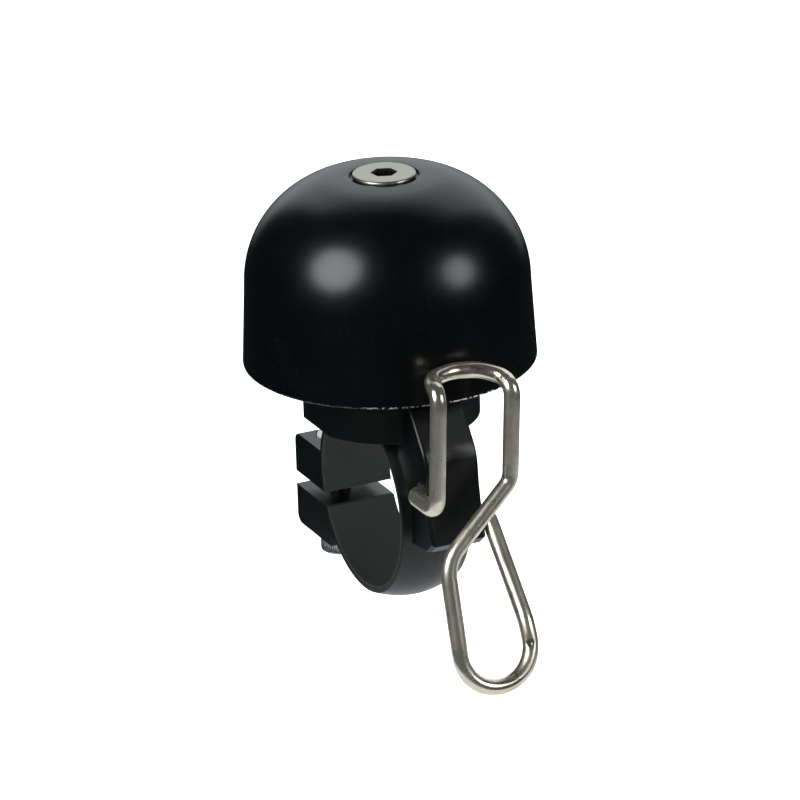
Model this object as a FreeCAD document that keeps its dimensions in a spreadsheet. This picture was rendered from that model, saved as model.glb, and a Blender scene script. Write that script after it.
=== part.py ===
import FreeCAD, Part
import math
import os
import Sketcher

# A small bicycle bell: a dome held by one countersunk screw on a moulded bracket that clamps round
# the handlebar, and a bent wire striker that springs in two holes of the bracket's nose.
# Frame in mm: the origin is on the bar axis under the bell axis, X along the bar, +Z up the bell
# axis, -Y the rider's side where the striker sits.

V = FreeCAD.Vector

DIMS = {
    # handlebar clamp: band round the bar, ridged along its middle, lined with rubber
    "bar_radius": 11.1,
    "bar_play": 0.05,
    "liner_thick": 0.5,
    "liner_gap": 0.02,
    "band_half": 4.6,
    "band_edge_radius": 12.0,
    "band_ridge_radius": 13.05,
    "band_crown_round": 12.0,
    "lug_start": 9.5,
    "lug_end": 19.4,
    "lug_top": 2.2,
    "lug_bottom": -10.0,
    "split_low": -4.9,
    "split_high": -3.1,
    "lug_round": 1.2,
    # round base under the dome
    "base_radius": 10.9,
    "base_low": 10.5,
    "base_high": 22.0,
    "base_edge": 0.4,
    # nose that carries the striker, drawn in its side view
    "nose_half": 3.6,
    "nose_root": -9.0,
    "nose_top": 17.4,
    "nose_shoulder_y": -12.7,
    "nose_shoulder_z": 15.5,
    "nose_knee_y": -15.5,
    "nose_knee_z": 11.7,
    "nose_knee_low_y": -16.8,
    "nose_knee_low_z": 8.3,
    "nose_knee_round": 6.0,
    "nose_front_hollow": 40.0,
    "nose_toe_y": -18.4,
    "nose_toe_z": -0.25,
    "nose_sole_y": -17.1,
    "nose_sole_z": -1.35,
    "nose_heel_y": -11.8,
    "nose_heel_z": -1.8,
    "nose_edge": 0.5,
    "nose_root_round": 1.6,
    # holes of the nose for the striker's two ends
    "pin_hole_depth": 2.8,
    "pin_hole_radius": 1.09,
    "pin_mouth": 0.18,
    "pin_left_y": -15.5,
    "pin_left_z": 5.95,
    "pin_right_y": -15.7,
    "pin_right_z": 2.1,
    # dome: outer outline from rim to crown, wall thickness, screw seat
    "rim_radius": 18.09,
    "rim_z": 17.81,
    "wall_top_radius": 17.52,
    "wall_top_z": 28.72,
    "shoulder_round": 13.54,
    "dome_wall": 1.6,
    "crown_round": 8.0,
    "rim_edge": 0.25,
    "seat_ring_radius": 4.3,
    "seat_ring_depth": 0.35,
    # dome screw, M4 countersunk with a 2.5 mm hexagon socket
    "screw_top": 41.66,
    "screw_head_radius": 3.92,
    "screw_head_rim": 0.4,
    "screw_head_bevel": 0.15,
    "screw_shank_radius": 1.97,
    "screw_length": 25.0,
    "screw_socket_depth": 2.2,
    "hex_key": 2.5,
    "screw_tip": 0.4,
    # stack inside the dome: washer, sleeve, washer, insert
    "stack_hole_radius": 2.15,
    "dome_washer_thick": 1.0,
    "dome_washer_radius": 4.2,
    "dome_washer_bore": 2.6,
    "sleeve_radius": 4.0,
    "base_washer_thick": 0.8,
    "base_washer_radius": 5.0,
    "insert_length": 6.5,
    "insert_radius": 2.8,
    "insert_bore": 2.0,
    "insert_gap": 0.02,
    "insert_groove": 0.25,
    "tip_room": 1.2,
    # clamp screw M3 x 12 with nut and washer
    "clamp_axis_y": 16.2,
    "clamp_hole_radius": 1.65,
    "clamp_shank_radius": 1.47,
    "clamp_length": 12.0,
    "clamp_head_radius": 2.75,
    "clamp_head_high": 3.0,
    "clamp_socket_depth": 1.6,
    "clamp_washer_thick": 0.5,
    "clamp_washer_radius": 3.1,
    "nut_across": 5.5,
    "nut_pocket_across": 5.6,
    "nut_thick": 2.4,
    "nut_bore": 1.5,
    "nut_edge": 0.25,
    # striker: one bent wire; pin hole values above give its two ends
    "wire_radius": 1.0,
    "pin_reach": 2.4,
}

# angles of the dome outline, measured from the bell axis at the centre of each rounding
SHOULDER_END = math.radians(20.0)
CROWN_END = math.radians(6.0)


def dome_outline(inset):
    """Corner points of the dome's outline, moved inwards by inset, from the rim to the crown."""
    d = DIMS
    run = d["rim_radius"] - d["wall_top_radius"]
    rise = d["wall_top_z"] - d["rim_z"]
    size = math.hypot(run, rise)
    nx, nz = -rise / size, -run / size
    r1 = d["shoulder_round"]
    cx, cz = d["wall_top_radius"] + nx * r1, d["wall_top_z"] + nz * r1
    r2 = d["crown_round"]
    ex = cx + (r1 - r2) * math.sin(SHOULDER_END)
    ez = cz + (r1 - r2) * math.cos(SHOULDER_END)
    p2x, p2z = ex + r2 * math.sin(CROWN_END), ez + r2 * math.cos(CROWN_END)
    r3 = (p2x - d["seat_ring_radius"]) / math.sin(CROWN_END)
    gx, gz = p2x - r3 * math.sin(CROWN_END), p2z - r3 * math.cos(CROWN_END)
    return {
        "wall": (d["wall_top_radius"] + nx * inset, d["wall_top_z"] + nz * inset),
        "shoulder": (cx + (r1 - inset) * math.sin(SHOULDER_END), cz + (r1 - inset) * math.cos(SHOULDER_END)),
        "crown": (ex + (r2 - inset) * math.sin(CROWN_END), ez + (r2 - inset) * math.cos(CROWN_END)),
        "top": (gx, gz + r3 - inset),
        "flat_round": r3 - inset,
    }


def add_dome_dims():
    """Works out the dome's remaining outline points and adds them to the dimensions."""
    for prefix, inset in (("outer", 0.0), ("inner", DIMS["dome_wall"])):
        line = dome_outline(inset)
        for key in ("wall", "shoulder", "crown"):
            DIMS["%s_%s_r" % (prefix, key)] = round(line[key][0], 4)
            DIMS["%s_%s_z" % (prefix, key)] = round(line[key][1], 4)
        DIMS[prefix + "_top_z"] = round(line["top"][1], 4)
        DIMS[prefix + "_shoulder_round"] = DIMS["shoulder_round"] - inset
        DIMS[prefix + "_crown_round"] = DIMS["crown_round"] - inset
        DIMS[prefix + "_flat_round"] = round(line["flat_round"], 3)
    lean = (DIMS["rim_radius"] - DIMS["wall_top_radius"]) / (DIMS["wall_top_z"] - DIMS["rim_z"])
    drop = DIMS["inner_wall_z"] - DIMS["rim_z"]
    DIMS["inner_rim_r"] = round(DIMS["inner_wall_r"] + lean * drop, 4)


add_dome_dims()

doc = FreeCAD.newDocument("bicycle_bell")
sheet = doc.addObject("Spreadsheet::Sheet", "dims")
for row, (word, number) in enumerate(DIMS.items(), start=1):
    sheet.set("A%d" % row, word)
    sheet.set("B%d" % row, repr(number))
    sheet.setAlias("B%d" % row, word)
doc.recompute()


def tokens(ref):
    """Splits a reference such as '-a + b - 0.5' into (sign, word or number) pairs."""
    out = []
    sign = 1
    for tok in ref.split():
        if tok == "+":
            sign = 1
        elif tok == "-":
            sign = -1
        elif tok[0] == "-" and not tok[1].isdigit():
            out.append((-sign, tok[1:]))
        else:
            out.append((sign, tok))
    return out


def value(ref):
    return sum(s * (DIMS[w] if w in DIMS else float(w)) for s, w in tokens(ref))


def expression(ref):
    parts = []
    for s, w in tokens(ref):
        parts.append(("+ " if s > 0 else "- ") + ("dims." + w if w in DIMS else w))
    text = " ".join(parts)
    return text[2:] if text.startswith("+ ") else "0 " + text


def bind(obj, prop, ref, factor=None):
    text = expression(ref)
    obj.setExpression(prop, "(%s) * %s" % (text, factor) if factor else text)


def new_body(label):
    body = doc.addObject("PartDesign::Body", label)
    body.Label = label
    return body


def new_sketch(body, name, role, offset="0"):
    """An empty sketch on one of the body's own origin planes, shifted along the plane's normal."""
    sk = body.newObject("Sketcher::SketchObject", name)
    plane = [f for f in body.Origin.OriginFeatures if f.Role == role][0]
    sk.AttachmentSupport = [(plane, "")]
    sk.MapMode = "FlatFace"
    if offset != "0":
        sk.AttachmentOffset = FreeCAD.Placement(V(0, 0, value(offset)), FreeCAD.Rotation())
        bind(sk, "AttachmentOffset.Base.z", offset)
    return sk


def hold(sk, kind, args, ref):
    """A named-size constraint."""
    number = sk.addConstraint(Sketcher.Constraint(kind, *args, value(ref)))
    bind(sk, "Constraints[%d]" % number, ref)


def outline(sk, corners):
    """A closed outline. Each corner is (x, y) or (x, y, radius): a radius makes the way to the next
    corner an arc, turning left when it is positive and right when negative."""
    pts = [(value(c[0]), value(c[1])) for c in corners]
    count = len(corners)
    for i, corner in enumerate(corners):
        (ax, ay), (bx, by) = pts[i], pts[(i + 1) % count]
        if len(corner) == 2:
            sk.addGeometry(Part.LineSegment(V(ax, ay, 0), V(bx, by, 0)))
            continue
        turn = -1 if corner[2].startswith("-") else 1
        r = value(corner[2].lstrip("-"))
        half = math.hypot(bx - ax, by - ay) / 2
        off = math.sqrt(max(r * r - half * half, 0.0)) * turn
        cx = (ax + bx) / 2 - (by - ay) / (2 * half) * off
        cy = (ay + by) / 2 + (bx - ax) / (2 * half) * off
        a0, a1 = math.atan2(ay - cy, ax - cx), math.atan2(by - cy, bx - cx)
        circle = Part.Circle(V(cx, cy, 0), V(0, 0, 1), r)
        sk.addGeometry(Part.ArcOfCircle(circle, *((a0, a1) if turn > 0 else (a1, a0))))
    ends = []
    for corner in corners:
        back = len(corner) == 3 and corner[2].startswith("-")
        ends.append((2, 1) if back else (1, 2))
    for i in range(count):
        j = (i + 1) % count
        sk.addConstraint(Sketcher.Constraint("Coincident", i, ends[i][1], j, ends[j][0]))
    for i, corner in enumerate(corners):
        hold(sk, "DistanceX", (-1, 1, i, ends[i][0]), corner[0])
        hold(sk, "DistanceY", (-1, 1, i, ends[i][0]), corner[1])
        if len(corner) == 3:
            hold(sk, "Radius", (i,), corner[2].lstrip("-"))


def ring(sk, *radii, x="0", y="0"):
    """Circles round one centre."""
    for i, ref in enumerate(radii):
        sk.addGeometry(Part.Circle(V(value(x), value(y), 0), V(0, 0, 1), value(ref)))
        hold(sk, "Radius", (i,), ref)
        if x == "0" and y == "0":
            sk.addConstraint(Sketcher.Constraint("Coincident", i, 3, -1, 1))
        else:
            hold(sk, "DistanceX", (-1, 1, i, 3), x)
            hold(sk, "DistanceY", (-1, 1, i, 3), y)


def hexagon(sk, across, x=0.0, y=0.0, turn=0.0):
    """A hexagon inside a construction circle whose radius follows the size across the flats."""
    r = value(across) / math.sqrt(3)
    pts = [V(x + r * math.cos(math.radians(60 * k + turn)), y + r * math.sin(math.radians(60 * k + turn)), 0)
           for k in range(6)]
    for k in range(6):
        sk.addGeometry(Part.LineSegment(pts[k], pts[(k + 1) % 6]))
    circle = sk.addGeometry(Part.Circle(V(x, y, 0), V(0, 0, 1), r), True)
    for k in range(6):
        sk.addConstraint(Sketcher.Constraint("Coincident", k, 2, (k + 1) % 6, 1))
        sk.addConstraint(Sketcher.Constraint("PointOnObject", k, 1, circle))
    for k in range(5):
        sk.addConstraint(Sketcher.Constraint("Equal", k, k + 1))
    number = sk.addConstraint(Sketcher.Constraint("Radius", circle, r))
    bind(sk, "Constraints[%d]" % number, across, "0.577350269")


def feature(body, kind, name, sk, **props):
    item = body.newObject("PartDesign::" + kind, name)
    item.Profile = sk
    for key, val in props.items():
        setattr(item, key, val)
    sk.Visibility = False
    return item


def pad(body, name, sk, length):
    item = feature(body, "Pad", name, sk, Length=value(length))
    bind(item, "Length", length)
    doc.recompute()
    return item


def turned(body, kind, name, sk, axis):
    """A full turn of the sketch about its own H_Axis or V_Axis, added or cut."""
    item = feature(body, kind, name, sk, Angle=360.0)
    item.ReferenceAxis = (sk, [axis])
    doc.recompute()
    return item


def pocket(body, name, sk, depth):
    """A pocket that cuts towards whichever side holds more material."""
    before = body.Shape.Volume
    item = feature(body, "Pocket", name, sk, Length=value(depth))
    bind(item, "Length", depth)
    removed = []
    for flip in (False, True):
        item.Reversed = flip
        doc.recompute()
        removed.append(before - body.Shape.Volume)
    if removed[0] > removed[1]:
        item.Reversed = False
        doc.recompute()
    assert max(removed) > 0.5, name
    return item


def edges_where(shape, test):
    """Names of the edges whose two ends and middle all pass the test."""
    names = []
    for i, edge in enumerate(shape.Edges, start=1):
        mid = edge.valueAt((edge.FirstParameter + edge.LastParameter) / 2)
        if all(test(p) for p in [v.Point for v in edge.Vertexes] + [mid]):
            names.append("Edge%d" % i)
    return names


def dress(body, kind, name, size, test):
    """A fillet or chamfer on the edges that pass the test."""
    tip = body.Tip
    names = edges_where(tip.Shape, test)
    assert names, name
    item = body.newObject("PartDesign::" + kind, name)
    item.Base = (tip, names)
    prop = "Radius" if kind == "Fillet" else "Size"
    setattr(item, prop, value(size))
    bind(item, prop, size)
    doc.recompute()
    return item


def close(a, b):
    return abs(a - b) < 1e-3


def radius_of(p):
    return math.hypot(p.x, p.y)


def washer(label, low, thick, outer, bore, y="0"):
    body = new_body(label)
    sk = new_sketch(body, label + "_plan", "XY_Plane", low)
    ring(sk, outer, bore, y=y)
    pad(body, label + "_disc", sk, thick)
    return body


# ---- bracket: round base, nose and clamp band moulded in one piece ----

bracket = new_body("bracket")

sk = new_sketch(bracket, "band_section", "XZ_Plane")
outline(sk, [("-band_half", "bar_radius"), ("band_half", "bar_radius"),
             ("band_half", "band_edge_radius", "band_crown_round"),
             ("0", "band_ridge_radius", "band_crown_round"), ("-band_half", "band_edge_radius")])
turned(bracket, "Revolution", "band", sk, "H_Axis")

sk = new_sketch(bracket, "base_plan", "XY_Plane", "base_low")
ring(sk, "base_radius")
pad(bracket, "base", sk, "base_high - base_low")

sk = new_sketch(bracket, "nose_side", "YZ_Plane", "-nose_half")
outline(sk, [("nose_root", "nose_top"), ("nose_shoulder_y", "nose_shoulder_z"),
             ("nose_knee_y", "nose_knee_z", "nose_knee_round"),
             ("nose_knee_low_y", "nose_knee_low_z", "-nose_front_hollow"),
             ("nose_toe_y", "nose_toe_z"), ("nose_sole_y", "nose_sole_z"),
             ("nose_heel_y", "nose_heel_z"), ("nose_root", "base_low - 2")])
pad(bracket, "nose", sk, "nose_half + nose_half")

sk = new_sketch(bracket, "lug_side", "YZ_Plane", "-band_half")
outline(sk, [("lug_start", "lug_bottom"), ("lug_end", "lug_bottom"), ("lug_end", "lug_top"),
             ("lug_start", "lug_top")])
pad(bracket, "lugs", sk, "band_half + band_half")
dress(bracket, "Fillet", "lug_corners", "lug_round", lambda p: close(p.y, DIMS["lug_end"]) and
      (close(p.z, DIMS["lug_top"]) or close(p.z, DIMS["lug_bottom"])))

sk = new_sketch(bracket, "bore_section", "XZ_Plane")
outline(sk, [("-base_radius - 1", "0"), ("base_radius + 1", "0"), ("base_radius + 1", "bar_radius + bar_play"),
             ("band_half", "bar_radius + bar_play"), ("band_half", "bar_radius + liner_thick"),
             ("-band_half", "bar_radius + liner_thick"), ("-band_half", "bar_radius + bar_play"),
             ("-base_radius - 1", "bar_radius + bar_play")])
turned(bracket, "Groove", "bar_bore", sk, "H_Axis")

sk = new_sketch(bracket, "split_side", "YZ_Plane", "-band_half - 1")
outline(sk, [("lug_start - 2", "split_low"), ("lug_end + 1", "split_low"), ("lug_end + 1", "split_high"),
             ("lug_start - 2", "split_high")])
pocket(bracket, "split", sk, "band_half + band_half + 2")

sk = new_sketch(bracket, "clamp_hole_plan", "XY_Plane", "lug_top + 1")
ring(sk, "clamp_hole_radius", y="clamp_axis_y")
pocket(bracket, "clamp_hole", sk, "lug_top - lug_bottom + 2")

sk = new_sketch(bracket, "nut_pocket_plan", "XY_Plane", "lug_top")
hexagon(sk, "nut_pocket_across", y=DIMS["clamp_axis_y"])
pocket(bracket, "nut_pocket", sk, "nut_thick + 0.1")

sk = new_sketch(bracket, "insert_hole_plan", "XY_Plane", "base_high")
ring(sk, "insert_radius + insert_gap")
pocket(bracket, "insert_hole", sk, "insert_length")

sk = new_sketch(bracket, "tip_hole_plan", "XY_Plane", "base_high - insert_length")
ring(sk, "stack_hole_radius")
pocket(bracket, "tip_hole", sk, "tip_room")

dress(bracket, "Fillet", "nose_root_rounding", "nose_root_round", lambda p: close(abs(p.x), DIMS["nose_half"])
      and close(radius_of(p), DIMS["base_radius"]) and p.z > DIMS["base_low"] - 1e-3)
dress(bracket, "Fillet", "nose_edges", "nose_edge", lambda p: close(abs(p.x), DIMS["nose_half"])
      and p.y < -12.6)
dress(bracket, "Chamfer", "base_edges", "base_edge", lambda p: close(radius_of(p), DIMS["base_radius"])
      and close(p.z, DIMS["base_high"]))

for side, sign in (("left", "-"), ("right", "")):
    sk = new_sketch(bracket, side + "_pin_plan", "YZ_Plane", sign + "nose_half")
    ring(sk, "pin_hole_radius", x="pin_%s_y" % side, y="pin_%s_z" % side)
    pocket(bracket, side + "_pin_hole", sk, "pin_hole_depth")
    dress(bracket, "Chamfer", side + "_pin_mouth", "pin_mouth",
          lambda p: close(p.x, value(sign + "nose_half")) and
          close(math.hypot(p.y - DIMS["pin_%s_y" % side], p.z - DIMS["pin_%s_z" % side]),
                DIMS["pin_hole_radius"]))

# ---- rubber liner between band and bar, open at the split ----

liner = new_body("bar_liner")
sk = new_sketch(liner, "liner_section", "XZ_Plane")
outline(sk, [("-band_half + 0.05", "bar_radius"), ("band_half - 0.05", "bar_radius"),
             ("band_half - 0.05", "bar_radius + liner_thick - liner_gap"),
             ("-band_half + 0.05", "bar_radius + liner_thick - liner_gap")])
turned(liner, "Revolution", "liner_ring", sk, "H_Axis")
sk = new_sketch(liner, "liner_split_side", "YZ_Plane", "-band_half - 1")
outline(sk, [("lug_start - 2", "split_low"), ("lug_end + 1", "split_low"), ("lug_end + 1", "split_high"),
             ("lug_start - 2", "split_high")])
pocket(liner, "liner_split", sk, "band_half + band_half + 2")

# ---- clamp screw from below, washer, captive nut ----

washer("clamp_washer", "lug_bottom - clamp_washer_thick", "clamp_washer_thick", "clamp_washer_radius",
       "clamp_hole_radius - 0.05", y="clamp_axis_y")

clamp = new_body("clamp_screw")
sk = new_sketch(clamp, "clamp_head_plan", "XY_Plane", "lug_bottom - clamp_washer_thick - clamp_head_high")
ring(sk, "clamp_head_radius", y="clamp_axis_y")
pad(clamp, "clamp_head", sk, "clamp_head_high")
dress(clamp, "Fillet", "clamp_head_edge", "clamp_washer_thick - 0.2",
      lambda p: p.z < DIMS["lug_bottom"] - DIMS["clamp_washer_thick"] - DIMS["clamp_head_high"] + 1e-3)
sk = new_sketch(clamp, "clamp_shank_plan", "XY_Plane", "lug_bottom - clamp_washer_thick")
ring(sk, "clamp_shank_radius", y="clamp_axis_y")
pad(clamp, "clamp_shank", sk, "clamp_length")
dress(clamp, "Chamfer", "clamp_tip", "screw_tip",
      lambda p: p.z > DIMS["lug_bottom"] - DIMS["clamp_washer_thick"] + DIMS["clamp_length"] - 1e-3)
sk = new_sketch(clamp, "clamp_socket_plan", "XY_Plane", "lug_bottom - clamp_washer_thick - clamp_head_high")
hexagon(sk, "hex_key", y=DIMS["clamp_axis_y"])
pocket(clamp, "clamp_socket", sk, "clamp_socket_depth")

nut = new_body("clamp_nut")
sk = new_sketch(nut, "nut_plan", "XY_Plane", "lug_top - nut_thick - 0.05")
hexagon(sk, "nut_across", y=DIMS["clamp_axis_y"])
pad(nut, "nut_block", sk, "nut_thick")
sk = new_sketch(nut, "nut_bore_plan", "XY_Plane", "lug_top")
ring(sk, "nut_bore", y="clamp_axis_y")
pocket(nut, "nut_bore_cut", sk, "nut_thick + 1")
dress(nut, "Chamfer", "nut_bore_edge", "nut_edge", lambda p: close(math.hypot(p.x, p.y - DIMS["clamp_axis_y"]),
                                                                  DIMS["nut_bore"]))

# ---- stack under the dome: insert, washer, sleeve, washer ----

insert = new_body("thread_insert")
sk = new_sketch(insert, "insert_section", "XZ_Plane")
outline(sk, [("insert_bore", "base_high"), ("insert_bore", "base_high - insert_length + 0.05"),
             ("insert_radius - 0.3", "base_high - insert_length + 0.05"),
             ("insert_radius", "base_high - insert_length + 0.45"), ("insert_radius", "base_high - 4"),
             ("insert_radius - insert_groove", "base_high - 3.7"),
             ("insert_radius - insert_groove", "base_high - 2.9"), ("insert_radius", "base_high - 2.6"),
             ("insert_radius", "base_high")])
turned(insert, "Revolution", "insert_turned", sk, "V_Axis")

washer("base_washer", "base_high", "base_washer_thick", "base_washer_radius", "stack_hole_radius")

sleeve = new_body("sleeve")
sk = new_sketch(sleeve, "sleeve_plan", "XY_Plane", "base_high + base_washer_thick")
ring(sk, "sleeve_radius", "stack_hole_radius")
pad(sleeve, "sleeve_tube", sk, "inner_top_z - dome_washer_thick - base_high - base_washer_thick - 0.02")
dress(sleeve, "Chamfer", "sleeve_edges", "rim_edge", lambda p: close(radius_of(p), DIMS["sleeve_radius"]))

washer("dome_washer", "inner_top_z - dome_washer_thick - 0.01", "dome_washer_thick", "dome_washer_radius",
       "dome_washer_bore")

# ---- dome ----

dome = new_body("dome")
sk = new_sketch(dome, "dome_section", "XZ_Plane")
seat_z = "outer_top_z - seat_ring_depth"
seat_r = "screw_head_radius - screw_top + screw_head_rim + outer_top_z - seat_ring_depth + 0.03"
hole_r = "screw_head_radius - screw_top + screw_head_rim + inner_top_z + 0.03"
outline(sk, [("inner_rim_r", "rim_z"), ("rim_radius", "rim_z"),
             ("outer_wall_r", "outer_wall_z", "outer_shoulder_round"),
             ("outer_shoulder_r", "outer_shoulder_z", "outer_crown_round"),
             ("outer_crown_r", "outer_crown_z", "outer_flat_round"),
             ("seat_ring_radius", "outer_top_z"), ("seat_ring_radius", seat_z), (seat_r, seat_z),
             (hole_r, "inner_top_z"), ("seat_ring_radius", "inner_top_z", "-inner_flat_round"),
             ("inner_crown_r", "inner_crown_z", "-inner_crown_round"),
             ("inner_shoulder_r", "inner_shoulder_z", "-inner_shoulder_round"),
             ("inner_wall_r", "inner_wall_z")])
turned(dome, "Revolution", "dome_turned", sk, "V_Axis")
dress(dome, "Chamfer", "rim_edges", "rim_edge", lambda p: close(p.z, DIMS["rim_z"]))

# ---- dome screw ----

screw = new_body("dome_screw")
sk = new_sketch(screw, "screw_section", "XZ_Plane")
neck = "screw_top - screw_head_rim - screw_head_radius + screw_shank_radius"
outline(sk, [("0", "screw_top - screw_length"), ("screw_shank_radius - screw_tip", "screw_top - screw_length"),
             ("screw_shank_radius", "screw_top - screw_length + screw_tip"), ("screw_shank_radius", neck),
             ("screw_head_radius", "screw_top - screw_head_rim"),
             ("screw_head_radius", "screw_top - screw_head_bevel"),
             ("screw_head_radius - screw_head_bevel", "screw_top"), ("0", "screw_top")])
turned(screw, "Revolution", "screw_turned", sk, "V_Axis")
sk = new_sketch(screw, "screw_socket_plan", "XY_Plane", "screw_top")
hexagon(sk, "hex_key", turn=37.0)
pocket(screw, "screw_socket", sk, "screw_socket_depth")

# ---- striker: one wire, bent at every corner of its path ----

half = 4.88
upright_foot_y = -21.8
upright_lean = -0.091


def upright(z, side):
    """A point on the striker's left or right upright."""
    return V(side * half, upright_foot_y + upright_lean * z, z)


LEFT_PIN = V(-half, DIMS["pin_left_y"], DIMS["pin_left_z"])
RIGHT_PIN = V(half, DIMS["pin_right_y"], DIMS["pin_right_z"])
pin_end = DIMS["nose_half"] - DIMS["pin_reach"]

# corner points with their bend radii, from the left pin over the arch and the thumb loop to the right pin
WIRE_CORNERS = [
    (V(-pin_end, LEFT_PIN.y, LEFT_PIN.z), 0),
    (LEFT_PIN, 1.45),
    (upright(LEFT_PIN.z, -1), 2.2),
    (upright(21.6, -1), 1.8),
    (V(-4.37, -20.2, 22.3), 2.4),
    (V(-1.05, -19.2, 22.4), 5.0),
    (V(2.5, -19.7, 22.15), 4.4),
    (V(4.65, -21.5, 21.55), 2.6),
    (upright(20.75, 1), 1.6),
    (upright(8.4, 1), 2.0),
    (V(-4.85, -24.55, 0.3), 4.8),
    (V(-4.85, -28.8, -15.2), 4.6),
    (V(4.85, -28.8, -15.2), 4.9),
    (V(4.85, -26.0, -8.8), 7.0),
    (RIGHT_PIN, 1.4),
    (V(pin_end, RIGHT_PIN.y, RIGHT_PIN.z), 0),
]


def bent_path(corners):
    """Straight edges joined by tangent arcs of each corner's bend radius."""
    edges = []
    last = corners[0][0]
    for i in range(1, len(corners) - 1):
        here, r = corners[i]
        back = (corners[i - 1][0] - here).normalize()
        ahead = (corners[i + 1][0] - here).normalize()
        angle = back.getAngle(ahead)
        reach = r / math.tan(angle / 2)
        start, end = here + back * reach, here + ahead * reach
        middle_dir = (back + ahead).normalize()
        middle = here + middle_dir * (r / math.sin(angle / 2) - r)
        edges.append(Part.LineSegment(last, start).toShape())
        edges.append(Part.Arc(start, middle, end).toShape())
        last = end
    edges.append(Part.LineSegment(last, corners[-1][0]).toShape())
    return edges


path = doc.addObject("Part::Feature", "striker_path")
path.Shape = Part.Wire(bent_path(WIRE_CORNERS))
section = doc.addObject("Part::Circle", "striker_section")
bind(section, "Radius", "wire_radius")
section.Placement = FreeCAD.Placement(WIRE_CORNERS[0][0], FreeCAD.Rotation(V(0, 0, 1), V(-1, 0, 0)))
striker = doc.addObject("Part::Sweep", "striker")
striker.Sections = [section]
striker.Spine = (path, ["Edge%d" % (i + 1) for i in range(len(path.Shape.Edges))])
striker.Solid = True
striker.Frenet = False
striker.Label = "striker"
doc.recompute()

NODES = ["bracket", "bar_liner", "clamp_washer", "clamp_screw", "clamp_nut", "thread_insert", "base_washer",
         "sleeve", "dome_washer", "dome", "dome_screw", "striker"]

for item in doc.Objects:
    bad = [s for s in item.State if s in ("Invalid", "Error")]
    assert not bad, (item.Label, item.State)

os.makedirs("parts", exist_ok=True)
for label in NODES:
    shape = doc.getObjectsByLabel(label)[0].Shape
    assert not shape.isNull() and shape.isValid(), label
    assert len(shape.Solids) == 1, (label, len(shape.Solids))
    shape.exportStep("parts/%s.step" % label)
    box = shape.BoundBox
    print("%-14s volume %9.2f  x %7.2f %7.2f  y %7.2f %7.2f  z %7.2f %7.2f" % (
        label, shape.Volume, box.XMin, box.XMax, box.YMin, box.YMax, box.ZMin, box.ZMax))
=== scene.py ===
import bmesh
import bpy
import math
import numpy as np
from mathutils import Matrix, Vector


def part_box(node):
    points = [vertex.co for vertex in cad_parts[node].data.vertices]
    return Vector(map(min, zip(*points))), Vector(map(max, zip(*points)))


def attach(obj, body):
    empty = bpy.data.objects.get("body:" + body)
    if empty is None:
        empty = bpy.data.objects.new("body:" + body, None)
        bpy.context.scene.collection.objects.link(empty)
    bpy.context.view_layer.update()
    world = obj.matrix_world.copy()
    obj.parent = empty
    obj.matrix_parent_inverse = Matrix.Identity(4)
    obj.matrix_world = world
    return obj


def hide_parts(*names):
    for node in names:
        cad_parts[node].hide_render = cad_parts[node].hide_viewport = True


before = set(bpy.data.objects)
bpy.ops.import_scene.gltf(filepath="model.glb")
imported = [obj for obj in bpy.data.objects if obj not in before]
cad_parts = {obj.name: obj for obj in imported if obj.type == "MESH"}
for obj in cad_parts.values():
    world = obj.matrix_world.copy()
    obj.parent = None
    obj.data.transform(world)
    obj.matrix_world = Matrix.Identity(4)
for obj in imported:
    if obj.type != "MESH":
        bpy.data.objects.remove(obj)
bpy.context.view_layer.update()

MM = 0.001
AXIS_R = 1e-6          # a radius below this is a point on the turning axis
BASE = "bell_base"
WIRE = "striker_wire"


# ---------------------------------------------------------------- meshes

def make_object(name, verts, faces, materials, face_slots=None, uvs=None, sharp=35.0):
    """A mesh object from plain lists; verts in millimetres, uvs per vertex in millimetres."""
    mesh = bpy.data.meshes.new(name)
    mesh.from_pydata([tuple(c * MM for c in v) for v in verts], [], faces)
    for mat in materials:
        mesh.materials.append(mat)
    if face_slots is not None:
        mesh.polygons.foreach_set("material_index", face_slots)
    mesh.validate()
    mesh.update()
    if uvs is not None:
        layer = mesh.uv_layers.new(name="run")
        for loop in mesh.loops:
            u, v = uvs[loop.vertex_index]
            layer.data[loop.index].uv = (u * MM, v * MM)
    mesh.shade_smooth()
    mesh.set_sharp_from_angle(angle=math.radians(sharp))
    obj = bpy.data.objects.new(name, mesh)
    bpy.context.scene.collection.objects.link(obj)
    return obj


def round_corner(points, at, radius, steps=5):
    """Replaces corner number at of an (r, z) outline by a small arc."""
    p = np.array(points[at], float)
    a = np.array(points[at - 1], float) - p
    b = np.array(points[(at + 1) % len(points)], float) - p
    la, lb = np.linalg.norm(a), np.linalg.norm(b)
    a, b = a / la, b / lb
    half = math.acos(max(-1.0, min(1.0, float(a @ b)))) / 2
    reach = min(radius / math.tan(half), la * 0.49, lb * 0.49)
    r = reach * math.tan(half)
    mid = (a + b) / np.linalg.norm(a + b)
    centre = p + mid * (r / math.sin(half))
    u, w = (p + a * reach - centre) / r, (p + b * reach - centre) / r
    span = math.acos(max(-1.0, min(1.0, float(u @ w))))
    out = []
    for k in range(steps + 1):
        t = k / steps
        q = (math.sin((1 - t) * span) * u + math.sin(t * span) * w) / math.sin(span)
        out.append(tuple(centre + r * q))
    return out


def rounded(points, radii, steps=5):
    """An outline with the given corner radii; 0 leaves a corner sharp."""
    out = []
    for i, r in enumerate(radii):
        out += round_corner(points, i, r, steps) if r > 0 else [tuple(points[i])]
    return out


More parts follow.
